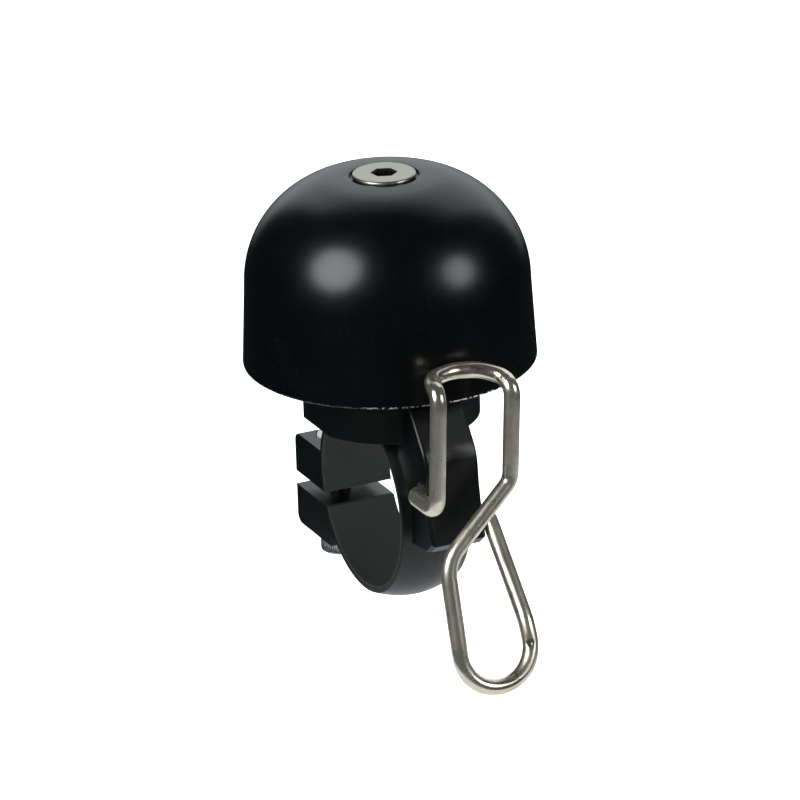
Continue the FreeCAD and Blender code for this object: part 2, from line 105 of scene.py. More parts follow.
def lathe(name, outline, materials, slot_of=None, segments=160, centre=(0.0, 0.0), radius_at=None, sharp=35.0):
    """A closed outline of (r, z) turned about a vertical axis. radius_at(r, z, angle) can reshape it."""
    n = len(outline)
    verts, faces, slots = [], [], []
    for k in range(segments):
        t = 2 * math.pi * k / segments
        c, s = math.cos(t), math.sin(t)
        for r, z in outline:
            rr = radius_at(r, z, t) if radius_at else r
            verts.append((centre[0] + rr * c, centre[1] + rr * s, z))
    for k in range(segments):
        j = (k + 1) % segments
        for i in range(n):
            m = (i + 1) % n
            if outline[i][0] < AXIS_R and outline[m][0] < AXIS_R:
                continue
            a, b, c2, d = k * n + i, j * n + i, j * n + m, k * n + m
            if outline[i][0] < AXIS_R:
                quad = (a, c2, d)
            elif outline[m][0] < AXIS_R:
                quad = (a, b, d)
            else:
                quad = (a, b, c2, d)
            faces.append(quad)
            slots.append(slot_of(outline[i], outline[m]) if slot_of else 0)
    return make_object(name, verts, faces, materials, slots, sharp=sharp)


def spin(outline, count, centre_y=0.0, reshape=None):
    """Vertices and faces of an open (r, z) outline turned about a vertical axis. reshape(r, z, angle) gives r."""
    n = len(outline)
    verts, faces = [], []
    for k in range(count):
        t = 2 * math.pi * k / count
        for r, z in outline:
            rr = reshape(r, z, t) if reshape else r
            verts.append((rr * math.cos(t), centre_y + rr * math.sin(t), z))
    for k in range(count):
        j = (k + 1) % count
        for i in range(n - 1):
            a, b, c, d = k * n + i, j * n + i, j * n + i + 1, k * n + i + 1
            if outline[i][0] < AXIS_R:
                faces.append((a, c, d))
            elif outline[i + 1][0] < AXIS_R:
                faces.append((a, b, d))
            else:
                faces.append((a, b, c, d))
    return verts, faces


def finish_normals(obj):
    """Merges the doubled points on the turning axis and turns all faces outwards."""
    bm = bmesh.new()
    bm.from_mesh(obj.data)
    bmesh.ops.remove_doubles(bm, verts=bm.verts, dist=1e-7)
    bmesh.ops.recalc_face_normals(bm, faces=bm.faces)
    bm.to_mesh(obj.data)
    bm.free()
    obj.data.shade_smooth()
    return obj


def hex_socket(name, axis_xy, top_z, depth, across, ring_r, turn, down, materials):
    """The flat ring and the hexagon socket in the end face of a screw head; the socket's walls and floor take the
    second material, a near-black painted shade.
    """
    sign = -1.0 if down else 1.0
    count = 72
    corner = across / math.sqrt(3)
    rings = []

    def hex_radius(t, size):
        local = (t - math.radians(turn)) % (math.pi / 3)
        return size * math.cos(math.pi / 6) / math.cos(local - math.pi / 6)

    levels = [("round", ring_r, 0.0), ("round", corner * 1.22, 0.0), ("hex", corner * 1.17, -0.02),
              ("hex", corner, -0.24), ("hex", corner, -depth), ("round", corner * 0.5, -depth - 0.25),
              ("round", corner * 0.04, -depth - 0.5)]
    verts, faces, slots = [], [], []
    for kind, size, z in levels:
        ring = []
        for k in range(count):
            t = 2 * math.pi * k / count
            r = hex_radius(t, size) if kind == "hex" else size
            ring.append(len(verts))
            verts.append((axis_xy[0] + r * math.cos(t), axis_xy[1] + r * math.sin(t), top_z + sign * z))
        rings.append(ring)
    for i, (a, b) in enumerate(zip(rings, rings[1:])):
        for k in range(count):
            j = (k + 1) % count
            quad = (a[k], a[j], b[j], b[k])
            faces.append(quad if not down else quad[::-1])
            # slot 1 on the socket's walls and floor: near-black painted shade in the recess
            slots.append(1 if i >= 2 else 0)
    faces.append(tuple(rings[-1]) if not down else tuple(rings[-1][::-1]))
    slots.append(1)
    return make_object(name, verts, faces, materials, slots, sharp=25.0)


def join(target, *others):
    """Adds the others' meshes to target."""
    bm = bmesh.new()
    bm.from_mesh(target.data)
    for other in others:
        bm.from_mesh(other.data)
    bmesh.ops.remove_doubles(bm, verts=bm.verts, dist=2e-6)
    bm.to_mesh(target.data)
    bm.free()
    for other in others:
        mesh = other.data
        bpy.data.objects.remove(other)
        bpy.data.meshes.remove(mesh)
    target.data.shade_smooth()
    target.data.set_sharp_from_angle(angle=math.radians(30))
    return target


# ---------------------------------------------------------------- materials

def new_material(name, color, metallic=0.0, roughness=0.5, specular=0.5):
    """A Principled material, with its node tree and its shader."""
    mat = bpy.data.materials.new(name)
    mat.use_nodes = True
    bsdf = mat.node_tree.nodes["Principled BSDF"]
    bsdf.inputs["Base Color"].default_value = (*color, 1.0)
    bsdf.inputs["Metallic"].default_value = metallic
    bsdf.inputs["Roughness"].default_value = roughness
    bsdf.inputs["Specular IOR Level"].default_value = specular
    return mat, mat.node_tree, bsdf


def node(tree, kind, **inputs):
    """A node with some input values; an underscore in a name stands for a space."""
    item = tree.nodes.new(kind)
    for key, val in inputs.items():
        item.inputs[key.replace("_", " ")].default_value = val
    return item


def noise(tree, coords, scale, detail=3.0, rough=0.5, stretch=None):
    """Noise on the given coordinates, which can be stretched first."""
    source = coords
    if stretch is not None:
        mapping = node(tree, "ShaderNodeMapping")
        mapping.inputs["Scale"].default_value = stretch
        tree.links.new(coords, mapping.inputs["Vector"])
        source = mapping.outputs["Vector"]
    tex = node(tree, "ShaderNodeTexNoise", Scale=scale, Detail=detail, Roughness=rough)
    tree.links.new(source, tex.inputs["Vector"])
    return tex.outputs["Fac"]


def remap(tree, value, low, high, to_low, to_high):
    """Takes low..high to to_low..to_high and holds the ends."""
    item = node(tree, "ShaderNodeMapRange")
    item.clamp = True
    for key, val in (("From Min", low), ("From Max", high), ("To Min", to_low), ("To Max", to_high)):
        item.inputs[key].default_value = val
    tree.links.new(value, item.inputs["Value"])
    return item.outputs["Result"]


def product(tree, a, b):
    """Two varying values multiplied."""
    item = tree.nodes.new("ShaderNodeMath")
    item.operation = "MULTIPLY"
    tree.links.new(a, item.inputs[0])
    tree.links.new(b, item.inputs[1])
    return item.outputs["Value"]


def mix_color(tree, fac, a, b):
    """From a to b by fac; each is a colour or a socket."""
    item = tree.nodes.new("ShaderNodeMix")
    item.data_type = "RGBA"
    tree.links.new(fac, item.inputs["Factor"])
    for socket, val in (("A", a), ("B", b)):
        target = [s for s in item.inputs if s.name == socket and s.type == "RGBA"][0]
        if isinstance(val, tuple):
            target.default_value = (*val, 1.0)
        else:
            tree.links.new(val, target)
    return [s for s in item.outputs if s.type == "RGBA"][0]


def bump(tree, bsdf, layers):
    """Chains bumps: layers of (height socket, strength, distance in mm)."""
    last = None
    for height, strength, dist in layers:
        item = node(tree, "ShaderNodeBump", Strength=strength, Distance=dist * MM)
        tree.links.new(height, item.inputs["Height"])
        if last is not None:
            tree.links.new(last, item.inputs["Normal"])
        last = item.outputs["Normal"]
    tree.links.new(last, bsdf.inputs["Normal"])


def object_coords(tree):
    return tree.nodes.new("ShaderNodeTexCoord").outputs["Object"]


def uv_coords(tree):
    return tree.nodes.new("ShaderNodeTexCoord").outputs["UV"]


def bevelled_wear(tree, radius_mm, amount):
    """Where the surface turns over an edge within radius: 0 on flats, up to amount on the edge."""
    geo = tree.nodes.new("ShaderNodeNewGeometry")
    soft = node(tree, "ShaderNodeBevel", Radius=radius_mm * MM)
    soft.samples = 6
    dot = tree.nodes.new("ShaderNodeVectorMath")
    dot.operation = "DOT_PRODUCT"
    tree.links.new(geo.outputs["Normal"], dot.inputs[0])
    tree.links.new(soft.outputs["Normal"], dot.inputs[1])
    return remap(tree, dot.outputs["Value"], 0.995, 0.86, 0.0, amount)


def black_lacquer():
    """Black lacquer on the dome, with fine orange peel and some dust."""
    mat, tree, bsdf = new_material("black_lacquer", (0.0005, 0.0012, 0.0018), roughness=0.3, specular=0.5)
    at = object_coords(tree)
    broad = noise(tree, at, 130.0, 3.0)
    peel = noise(tree, at, 1900.0, 2.0)
    dust = noise(tree, at, 5200.0, 1.0, 0.3)
    tree.links.new(mix_color(tree, remap(tree, broad, 0.35, 0.7, 0.0, 1.0), (0.0003, 0.0007, 0.0012),
                             (0.0006, 0.0011, 0.0017)), bsdf.inputs["Base Color"])
    tree.links.new(remap(tree, broad, 0.3, 0.7, 0.245, 0.285), bsdf.inputs["Roughness"])
    bump(tree, bsdf, [(peel, 0.2, 0.006), (dust, 0.1, 0.004)])
    return mat


def bare_edge():
    """The rim's lower edge: black with specks and runs of bare metal."""
    mat, tree, bsdf = new_material("bare_rim_metal", (0.80, 0.76, 0.68), metallic=1.0, roughness=0.25)
    at = object_coords(tree)
    nicks = noise(tree, at, 2900.0, 1.0, 0.5)
    worn = noise(tree, at, 75.0, 1.0, 0.4)
    bare = product(tree, remap(tree, nicks, 0.50, 0.56, 0.0, 1.0), remap(tree, worn, 0.42, 0.54, 0.10, 1.0))
    tree.links.new(remap(tree, nicks, 0.3, 0.7, 0.12, 0.5), bsdf.inputs["Roughness"])
    tree.links.new(mix_color(tree, bare, (0.010, 0.010, 0.012), (0.92, 0.90, 0.84)),
                   bsdf.inputs["Base Color"])
    bump(tree, bsdf, [(nicks, 0.5, 0.03)])
    return mat


def moulded_black():
    """The bracket's black moulding: fine grain, faint flow streaks, paler where edges wear."""
    mat, tree, bsdf = new_material("moulded_black", (0.008, 0.010, 0.011), roughness=0.34, specular=0.5)
    at = object_coords(tree)
    grain = noise(tree, at, 4200.0, 3.0, 0.6)
    cloud = noise(tree, at, 240.0, 4.0)
    streak = noise(tree, at, 900.0, 2.0, 0.5, (0.25, 1.0, 1.0))
    wear = bevelled_wear(tree, 0.25, 1.0)
    base = mix_color(tree, remap(tree, cloud, 0.35, 0.7, 0.0, 1.0), (0.0010, 0.0017, 0.0020),
                     (0.0018, 0.0026, 0.0030))
    tree.links.new(mix_color(tree, wear, base, (0.007, 0.008, 0.009)), bsdf.inputs["Base Color"])
    tree.links.new(remap(tree, cloud, 0.3, 0.7, 0.27, 0.32), bsdf.inputs["Roughness"])
    bump(tree, bsdf, [(grain, 0.18, 0.006), (streak, 0.08, 0.005)])
    return mat


def rubber():
    """The liner between band and bar."""
    mat, tree, bsdf = new_material("liner_rubber", (0.012, 0.012, 0.012), roughness=0.75, specular=0.3)
    at = object_coords(tree)
    grain = noise(tree, at, 2600.0, 4.0, 0.6)
    ribs = noise(tree, at, 700.0, 1.0, 0.4, (3.0, 0.3, 0.3))
    tree.links.new(remap(tree, grain, 0.3, 0.7, 0.62, 0.85), bsdf.inputs["Roughness"])
    tree.links.new(mix_color(tree, grain, (0.009, 0.009, 0.009), (0.02, 0.02, 0.02)), bsdf.inputs["Base Color"])
    bump(tree, bsdf, [(grain, 0.4, 0.03), (ribs, 0.3, 0.03)])
    return mat


def nylon(name, dark, light):
    """Dark washers inside the dome."""
    mat, tree, bsdf = new_material(name, dark, roughness=0.55, specular=0.4)
    at = object_coords(tree)
    grain = noise(tree, at, 1800.0, 3.0)
    tree.links.new(mix_color(tree, grain, dark, light), bsdf.inputs["Base Color"])
    tree.links.new(remap(tree, grain, 0.3, 0.7, 0.45, 0.65), bsdf.inputs["Roughness"])
    bump(tree, bsdf, [(grain, 0.3, 0.02)])
    return mat


def drawn_wire():
    """Steel wire: faint draw lines along its run, dull patches, stains and a brownish temper tint.

    The arch that strikes and the loop's end that the thumb rubs are smoother, and the colour turns near-black round
    the nip.
    """
    mat, tree, bsdf = new_material("drawn_wire_steel", (0.74, 0.70, 0.60), metallic=0.96, roughness=0.36)
    run = uv_coords(tree)
    lines = noise(tree, run, 2600.0, 3.0, 0.6, (0.02, 1.0, 1.0))
    patches = noise(tree, run, 260.0, 2.0, 0.5, (1.0, 0.7, 1.0))
    stains = noise(tree, run, 620.0, 3.0, 0.6, (0.6, 1.0, 1.0))
    pits = noise(tree, run, 5200.0, 2.0, 0.6)
    tone = mix_color(tree, remap(tree, patches, 0.42, 0.7, 0.0, 1.0), (0.87, 0.81, 0.68), (0.58, 0.50, 0.38))
    temper = noise(tree, run, 420.0, 2.0, 0.5, (0.35, 0.8, 1.0))
    tone = mix_color(tree, remap(tree, temper, 0.54, 0.66, 0.0, 0.55), tone, (0.60, 0.42, 0.30))
    tone = mix_color(tree, remap(tree, stains, 0.64, 0.72, 0.0, 0.85), tone, (0.20, 0.15, 0.10))
    # the colour turns near-black within about 0.3 to 0.7 mm of the nip's dent
    nip = tree.nodes.new("ShaderNodeVectorMath")
    nip.operation = "DISTANCE"
    nip.inputs[1].default_value = NIP_SPOT * MM
    tree.links.new(object_coords(tree), nip.inputs[0])
    nip_dark_mask = remap(tree, nip.outputs["Value"], 0.00070, 0.00030, 0.0, 0.95)
    tone = mix_color(tree, nip_dark_mask, tone, (0.05, 0.035, 0.022))
    tree.links.new(mix_color(tree, remap(tree, lines, 0.35, 0.65, 0.0, 0.35), tone, (0.90, 0.87, 0.78)),
                   bsdf.inputs["Base Color"])
    split = tree.nodes.new("ShaderNodeSeparateXYZ")
    tree.links.new(object_coords(tree), split.inputs[0])
    struck = remap(tree, split.outputs["Z"], 0.0198, 0.0222, 1.0, 0.58)
    thumbed = remap(tree, split.outputs["Z"], -0.0155, -0.0125, 0.62, 1.0)
    drawn = product(tree, struck, remap(tree, patches, 0.35, 0.7, 0.25, 0.42))
    tree.links.new(product(tree, drawn, thumbed), bsdf.inputs["Roughness"])
    bump(tree, bsdf, [(lines, 0.16, 0.01), (pits, 0.08, 0.006)])
    return mat


def turned_steel(name, color, roughness, rings=True):
    """Machined metal with fine turning rings about the bell axis, or plain satin."""
    mat, tree, bsdf = new_material(name, color, metallic=1.0, roughness=roughness)
    at = object_coords(tree)
    grain = noise(tree, at, 2400.0, 3.0, 0.6)
    layers = [(grain, 0.12, 0.008)]
    if rings:
        split = tree.nodes.new("ShaderNodeSeparateXYZ")
        tree.links.new(at, split.inputs[0])
        flat = tree.nodes.new("ShaderNodeCombineXYZ")
        tree.links.new(split.outputs["X"], flat.inputs["X"])
        tree.links.new(split.outputs["Y"], flat.inputs["Y"])
        length = tree.nodes.new("ShaderNodeVectorMath")
        length.operation = "LENGTH"
        tree.links.new(flat.outputs["Vector"], length.inputs[0])
        radial = tree.nodes.new("ShaderNodeCombineXYZ")
        tree.links.new(length.outputs["Value"], radial.inputs["X"])
        layers.append((noise(tree, radial.outputs["Vector"], 9000.0, 2.0, 0.5), 0.2, 0.012))
    tree.links.new(remap(tree, grain, 0.3, 0.7, roughness * 0.8, roughness * 1.25), bsdf.inputs["Roughness"])
    tree.links.new(mix_color(tree, grain, tuple(c * 0.88 for c in color), color), bsdf.inputs["Base Color"])
    bump(tree, bsdf, layers)
    return mat


HALF, FOOT_Y, LEAN = 4.88, -21.8, -0.091
PIN_END = 1.2
PIN_IN_HOLE, PIN_EASE = 2.6, 0.04     # the pins are a hair slimmer where they turn in their holes
BEND_FLAT = 0.035                     # how much a bend flattens the wire on its outside
END_ROUND = [(0.0, 0.0), (0.55, 0.0), (0.86, 0.05), (1.0, 0.16)]   # share of the radius, distance from the end


def upright(z, side):
    return Vector((side * HALF, FOOT_Y + LEAN * z, z))


LEFT_PIN = Vector((-HALF, -15.5, 5.95))
RIGHT_PIN = Vector((HALF, -15.7, 2.1))
WIRE_CORNERS = [
    (Vector((-PIN_END, -15.5, 5.95)), 0), (LEFT_PIN, 1.45), (upright(5.95, -1), 2.2), (upright(21.6, -1), 1.8),
    (Vector((-4.37, -20.2, 22.3)), 2.4), (Vector((-1.05, -19.2, 22.4)), 5.0), (Vector((2.5, -19.7, 22.15)), 4.4),
    (Vector((4.65, -21.5, 21.55)), 2.6), (upright(20.75, 1), 1.6), (upright(8.4, 1), 2.0),
    (Vector((-4.85, -24.55, 0.3)), 4.8), (Vector((-4.85, -28.8, -15.2)), 4.6), (Vector((4.85, -28.8, -15.2)), 4.9),
    (Vector((4.85, -26.0, -8.8)), 7.0), (RIGHT_PIN, 1.4), (Vector((PIN_END, -15.7, 2.1)), 0)]

# where the bending pliers nipped the thumb loop; each nip is (place along the leg, depth, reach)
LOOP_LEG = (WIRE_CORNERS[13][0] - WIRE_CORNERS[12][0]).normalized()
NIP_AT = WIRE_CORNERS[12][0] + LOOP_LEG * 4.35
NIP_SPOT = NIP_AT + Vector((-0.45, -0.80, 0.35)) * 0.98
NIPS = ((0.0, 0.26, 0.55), (0.62, 0.12, 0.45), (-0.55, 0.08, 0.40))


LACQUER = black_lacquer()
EDGE = bare_edge()
MOULDED = moulded_black()
RUBBER = rubber()
NYLON = nylon("washer_nylon", (0.028, 0.028, 0.030), (0.05, 0.05, 0.052))
STEEL_WIRE = drawn_wire()
SCREW = turned_steel("screw_stainless", (0.48, 0.47, 0.41), 0.33)
# near-black steel for the hexagon sockets: painted shade in the recesses
SOCKET_SHADE = turned_steel("socket_painted_shade", (0.05, 0.05, 0.045), 0.5, rings=False)
PLAIN_STEEL = turned_steel("zinc_steel", (0.66, 0.67, 0.68), 0.3, rings=False)
BRASS = turned_steel("insert_brass", (0.78, 0.60, 0.30), 0.3, rings=False)
ALUMINIUM = turned_steel("sleeve_aluminium", (0.74, 0.75, 0.76), 0.32, rings=False)


# ---------------------------------------------------------------- dome

RIM_R, RIM_Z = 18.09, 17.81
WALL_R, WALL_Z = 17.52, 28.72
SHOULDER, CROWN, WALL = 13.54, 8.0, 1.6
SEAT_R, SEAT_DEPTH = 4.3, 0.35
SHOULDER_END, CROWN_END = math.radians(20.0), math.radians(6.0)
HEAD_TOP, HEAD_R, HEAD_RIM = 41.66, 3.92, 0.4


def dome_side(inset):
    """Points of the dome's outline, moved in by inset, from the wall's top to the flat crown."""
    run, rise = RIM_R - WALL_R, WALL_Z - RIM_Z
    size = math.hypot(run, rise)
    nx, nz = -rise / size, -run / size
    cx, cz = WALL_R + nx * SHOULDER, WALL_Z + nz * SHOULDER
    first = math.atan2(-nx, -nz)
    pts = []
    for k in range(49):
        a = first + (SHOULDER_END - first) * k / 48
        r = SHOULDER - inset
        pts.append((cx + r * math.sin(a), cz + r * math.cos(a)))
    ex = cx + (SHOULDER - CROWN) * math.sin(SHOULDER_END)
    ez = cz + (SHOULDER - CROWN) * math.cos(SHOULDER_END)
    for k in range(1, 13):
        a = SHOULDER_END + (CROWN_END - SHOULDER_END) * k / 12
        r = CROWN - inset
        pts.append((ex + r * math.sin(a), ez + r * math.cos(a)))
    kx, kz = ex + CROWN * math.sin(CROWN_END), ez + CROWN * math.cos(CROWN_END)
    flat = (kx - SEAT_R) / math.sin(CROWN_END)
    gx, gz = kx - flat * math.sin(CROWN_END), kz - flat * math.cos(CROWN_END)
    for k in range(1, 7):
        a = CROWN_END * (1 - k / 6)
        r = flat - inset
        pts.append((gx + r * math.sin(a), gz + r * math.cos(a)))
    return pts


outer = dome_side(0.0)
inner = dome_side(WALL)
top_z, under_z = outer[-1][1], inner[-1][1]
lean = (RIM_R - WALL_R) / (WALL_Z - RIM_Z)
inner_rim_r = inner[0][0] + lean * (inner[0][1] - RIM_Z)
cone = HEAD_TOP - HEAD_RIM - HEAD_R
seat_z = top_z - SEAT_DEPTH
wall_steps = [(RIM_R - 0.02 - (RIM_R - WALL_R) * k / 12, RIM_Z + 0.28 + (WALL_Z - RIM_Z - 0.28) * k / 12)
              for k in range(12)]
inner_steps = [(inner[0][0] + (inner_rim_r - inner[0][0]) * k / 8, inner[0][1] + (RIM_Z + 0.25 - inner[0][1]) * k / 8)
               for k in range(1, 9)]
rim = [(inner_rim_r + 0.05, RIM_Z + 0.12), (inner_rim_r + 0.22, RIM_Z + 0.01), (RIM_R - 0.30, RIM_Z),
       (RIM_R - 0.14, RIM_Z + 0.03), (RIM_R - 0.04, RIM_Z + 0.13)]
mouth = [(SEAT_R + 0.12, top_z), (SEAT_R + 0.03, top_z - 0.03), (SEAT_R, top_z - 0.12), (SEAT_R, seat_z),
         (seat_z - cone + 0.03, seat_z), (under_z - cone + 0.03, under_z + 0.05), (under_z - cone + 0.10, under_z)]
dome_outline = rim + wall_steps + outer[:-1] + mouth + inner[::-1] + inner_steps


def dome_slot(a, b):
    """The rim's lower edge is bare metal, all the rest is lacquered."""
    return 1 if max(a[1], b[1]) < RIM_Z + 0.30 else 0


dome = finish_normals(lathe("dome_shell", dome_outline, [LACQUER, EDGE], dome_slot, segments=256))
dome.data.set_sharp_from_angle(angle=math.radians(40))
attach(dome, BASE)
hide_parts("dome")

# ---------------------------------------------------------------- dome screw

SHANK, LENGTH = 1.97, 25.0
PITCH, THREAD_DEPTH = 0.7, 0.3
KEY_ACROSS, KEY_TURN, KEY_DEPTH = 2.5, 37.0, 2.2
FACE_R = HEAD_R - 0.30
neck = HEAD_TOP - HEAD_RIM - HEAD_R + SHANK
thread = []
z = HEAD_TOP - LENGTH + 0.45
while z < neck - 2.2:
    thread += [(SHANK, z), (SHANK, z + PITCH * 0.12), (SHANK - THREAD_DEPTH, z + PITCH * 0.5),
               (SHANK - THREAD_DEPTH, z + PITCH * 0.62)]
    z += PITCH
screw_outline = ([(0.0, HEAD_TOP - LENGTH), (SHANK - 0.45, HEAD_TOP - LENGTH)] + thread +
                 [(SHANK, z), (SHANK, neck), (HEAD_R, HEAD_TOP - HEAD_RIM), (HEAD_R, HEAD_TOP - 0.30),
                  (HEAD_R - 0.03, HEAD_TOP - 0.18), (HEAD_R - 0.09, HEAD_TOP - 0.09),
                  (HEAD_R - 0.18, HEAD_TOP - 0.03), (FACE_R, HEAD_TOP)])
verts, faces = spin(screw_outline, 144)
screw = make_object("dome_cap_screw", verts, faces, [SCREW, SOCKET_SHADE])
screw = join(screw, hex_socket("socket_tmp", (0, 0), HEAD_TOP, KEY_DEPTH, KEY_ACROSS, FACE_R, KEY_TURN, False,
                               [SCREW, SOCKET_SHADE]))
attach(screw, BASE)
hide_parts("dome_screw")

# ---------------------------------------------------------------- striker wire

def wire_path(corners, step=0.22):
    """Points along the wire with how sharply it bends there (0 on straights, 1/radius on bends)."""
    pts = []
    last = corners[0][0]

    def straight(a, b):
        count = max(1, int((b - a).length / step))
        for k in range(count):
            pts.append((a.lerp(b, k / count), 0.0, Vector((0, 0, 0))))

    for i in range(1, len(corners) - 1):
        here, r = corners[i]
        back = (corners[i - 1][0] - here).normalized()
        ahead = (corners[i + 1][0] - here).normalized()
        angle = back.angle(ahead)
        reach = r / math.tan(angle / 2)
        start, end = here + back * reach, here + ahead * reach
        straight(last, start)
        centre = here + (back + ahead).normalized() * (r / math.sin(angle / 2))
        u, w = (start - centre) / r, (end - centre) / r
        span = u.angle(w)
        count = max(8, int(r * span / step))
        for k in range(count):
            t = k / count
            d = (math.sin((1 - t) * span) * u + math.sin(t * span) * w) / math.sin(span)
            pts.append((centre + d * r, 1.0 / r, d.normalized()))
        last = end
    straight(last, corners[-1][0])
    pts.append((corners[-1][0], 0.0, Vector((0, 0, 0))))
    return pts


def sweep_wire(name, corners, radius, material, sides=32):
    """The wire's skin, carried along the path without twist.

    It is slightly flattened on the outside of bends, rounded at both ends and a hair slimmer in the holes.
    """
    path = wire_path(corners)
    pos = [p for p, _, _ in path]
    tangents = []
    for i in range(len(pos)):
        a, b = pos[max(0, i - 1)], pos[min(len(pos) - 1, i + 1)]
        tangents.append((b - a).normalized())
    up = Vector((0, 0, 1))
    side = tangents[0].cross(up).normalized()
    rings, uvs, verts, run = [], [], [], 0.0
    total = sum((b - a).length for a, b in zip(pos, pos[1:]))
    for i, p in enumerate(pos):
        tan = tangents[i]
        side = (side - tan * side.dot(tan)).normalized()
        other = tan.cross(side)
        if i:
            run += (p - pos[i - 1]).length
        bend, outward = path[i][1], path[i][2]
        out_of_hole = min(1.0, max(0.0, min(run, total - run) - PIN_IN_HOLE))
        slim = 1.0 - PIN_EASE * (1.0 - out_of_hole)
        steps = [(1.0, 0.0)]
        if i == 0:
            steps = END_ROUND
        elif i == len(pos) - 1:
            steps = [(shrink, -shift) for shrink, shift in END_ROUND[::-1]]
        for shrink, shift in steps:
            ring = []
            for s in range(sides):
                t = 2 * math.pi * s / sides
                d = side * math.cos(t) + other * math.sin(t)
                r = radius * shrink * slim
                if bend > 0:
                    r *= 1.0 - BEND_FLAT * min(1.0, 3.0 * bend) * max(0.0, d.dot(outward)) ** 2
                ring.append(len(verts))
                verts.append(tuple(p + tan * shift + d * r))
                uvs.append((run + shift, radius * t))
            rings.append(ring)
    faces = []
    for a, b in zip(rings, rings[1:]):
        for s in range(sides):
            q = (s + 1) % sides
            faces.append((a[s], a[q], b[q], b[s]))
    return make_object(name, verts, faces, [material], uvs=uvs, sharp=60.0)


wire = sweep_wire("striker_wire_form", WIRE_CORNERS, 1.0, STEEL_WIRE)

# the nips press the wire's skin towards its middle
for vertex in wire.data.vertices:
    p = Vector(vertex.co) / MM
    for shift, depth, reach in NIPS:
        spot = NIP_SPOT + LOOP_LEG * shift
        away = (p - spot).length
        if away < reach:
            pull = depth * math.cos(away / reach * math.pi / 2) ** 2
            axis_point = NIP_AT + LOOP_LEG * (p - NIP_AT).dot(LOOP_LEG)
            p += (axis_point - p).normalized() * pull
            vertex.co = p * MM
wire.data.update()
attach(wire, WIRE)
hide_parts("striker")

# ---------------------------------------------------------------- clamp hardware behind the bar

AXIS_Y, LUG_LOW, LUG_TOP = 16.2, -10.0, 2.2
M3_R, M3_ROOT, M3_PITCH, M3_LENGTH = 1.47, 1.22, 0.5, 12.0
CAP_R, CAP_FACE_R, CAP_KEY, CAP_KEY_DEPTH = 2.75, 2.53, 2.5, 1.6
KNURLS, KNURL_DEPTH = 60, 0.07
washer_low = LUG_LOW - 0.5
head_low = washer_low - 3.0


def knurl(r, z, t):
    """Fine straight knurling round the cap screw's head."""
    if r > 2.6 and head_low + 0.35 < z < washer_low - 0.25:
        return r - KNURL_DEPTH * abs(math.sin(t * KNURLS / 2))
    return r


clamp_thread = []
z = washer_low + 2.6
while z < washer_low + 11.5:
    clamp_thread += [(M3_R, z), (M3_R, z + 0.06), (M3_ROOT, z + 0.25), (M3_ROOT, z + 0.31)]
    z += M3_PITCH
shaft = ([(CAP_FACE_R, head_low), (2.68, head_low + 0.06), (CAP_R, head_low + 0.22), (CAP_R, head_low + 0.36),
          (CAP_R, head_low + 1.0), (CAP_R, washer_low - 1.0), (CAP_R, washer_low - 0.26),
          (2.72, washer_low - 0.06), (2.62, washer_low), (M3_R, washer_low)] + clamp_thread +
         [(M3_R, z), (1.1, washer_low + M3_LENGTH), (0.0, washer_low + M3_LENGTH)])
verts, faces = spin(shaft, 240, AXIS_Y, knurl)
cap = make_object("clamp_cap_screw", verts, faces, [PLAIN_STEEL, SOCKET_SHADE])
cap = join(cap, hex_socket("clamp_socket_tmp", (0, AXIS_Y), head_low, CAP_KEY_DEPTH, CAP_KEY, CAP_FACE_R, 0.0, True,
                           [PLAIN_STEEL, SOCKET_SHADE]))
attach(cap, BASE)
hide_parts("clamp_screw")

ring_outline = rounded([(1.6, washer_low), (3.1, washer_low), (3.1, LUG_LOW), (1.6, LUG_LOW)],
                       [0.08, 0.14, 0.1, 0.08], 4)
clamp_ring = finish_normals(lathe("clamp_flat_washer", ring_outline, [PLAIN_STEEL], segments=120,
                                  centre=(0.0, AXIS_Y)))
clamp_ring.data.set_sharp_from_angle(angle=math.radians(50))
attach(clamp_ring, BASE)
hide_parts("clamp_washer")


def nut_mesh(name, low, high, across, bore, turn, material):
    """A hexagon nut whose corners are cut by a 30 degree cone at both ends, with a countersunk bore."""
    count = 144
    verts, faces, rings = [], [], []
    flat = across / 2

    def side(t):
        local = (t - math.radians(turn)) % (math.pi / 3)
        return flat / math.cos(local - math.pi / 6)

    for zone in range(8):
        ring = []
        for k in range(count):
            t = 2 * math.pi * k / count
            hexagon = side(t)
            cut = (hexagon - flat * 0.97) * math.tan(math.radians(30))
            r, z2 = ((bore, low + 0.25), (bore + 0.27, low), (flat * 0.97, low), (hexagon, low + cut),
                     (hexagon, high - cut), (flat * 0.97, high), (bore + 0.27, high), (bore, high - 0.25))[zone]
            ring.append(len(verts))
            verts.append((r * math.cos(t), AXIS_Y + r * math.sin(t), z2))
        rings.append(ring)
    for a, b in zip(rings, rings[1:] + rings[:1]):
        for k in range(count):
            j = (k + 1) % count
            faces.append((a[k], a[j], b[j], b[k]))
    return make_object(name, verts, faces, [material], sharp=22.0)


nut = finish_normals(nut_mesh("clamp_hex_nut", LUG_TOP - 2.45, LUG_TOP - 0.05, 5.5, 1.5, 0.0, PLAIN_STEEL))
nut.data.set_sharp_from_angle(angle=math.radians(22))
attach(nut, BASE)
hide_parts("clamp_nut")

# ---------------------------------------------------------------- stack inside the dome

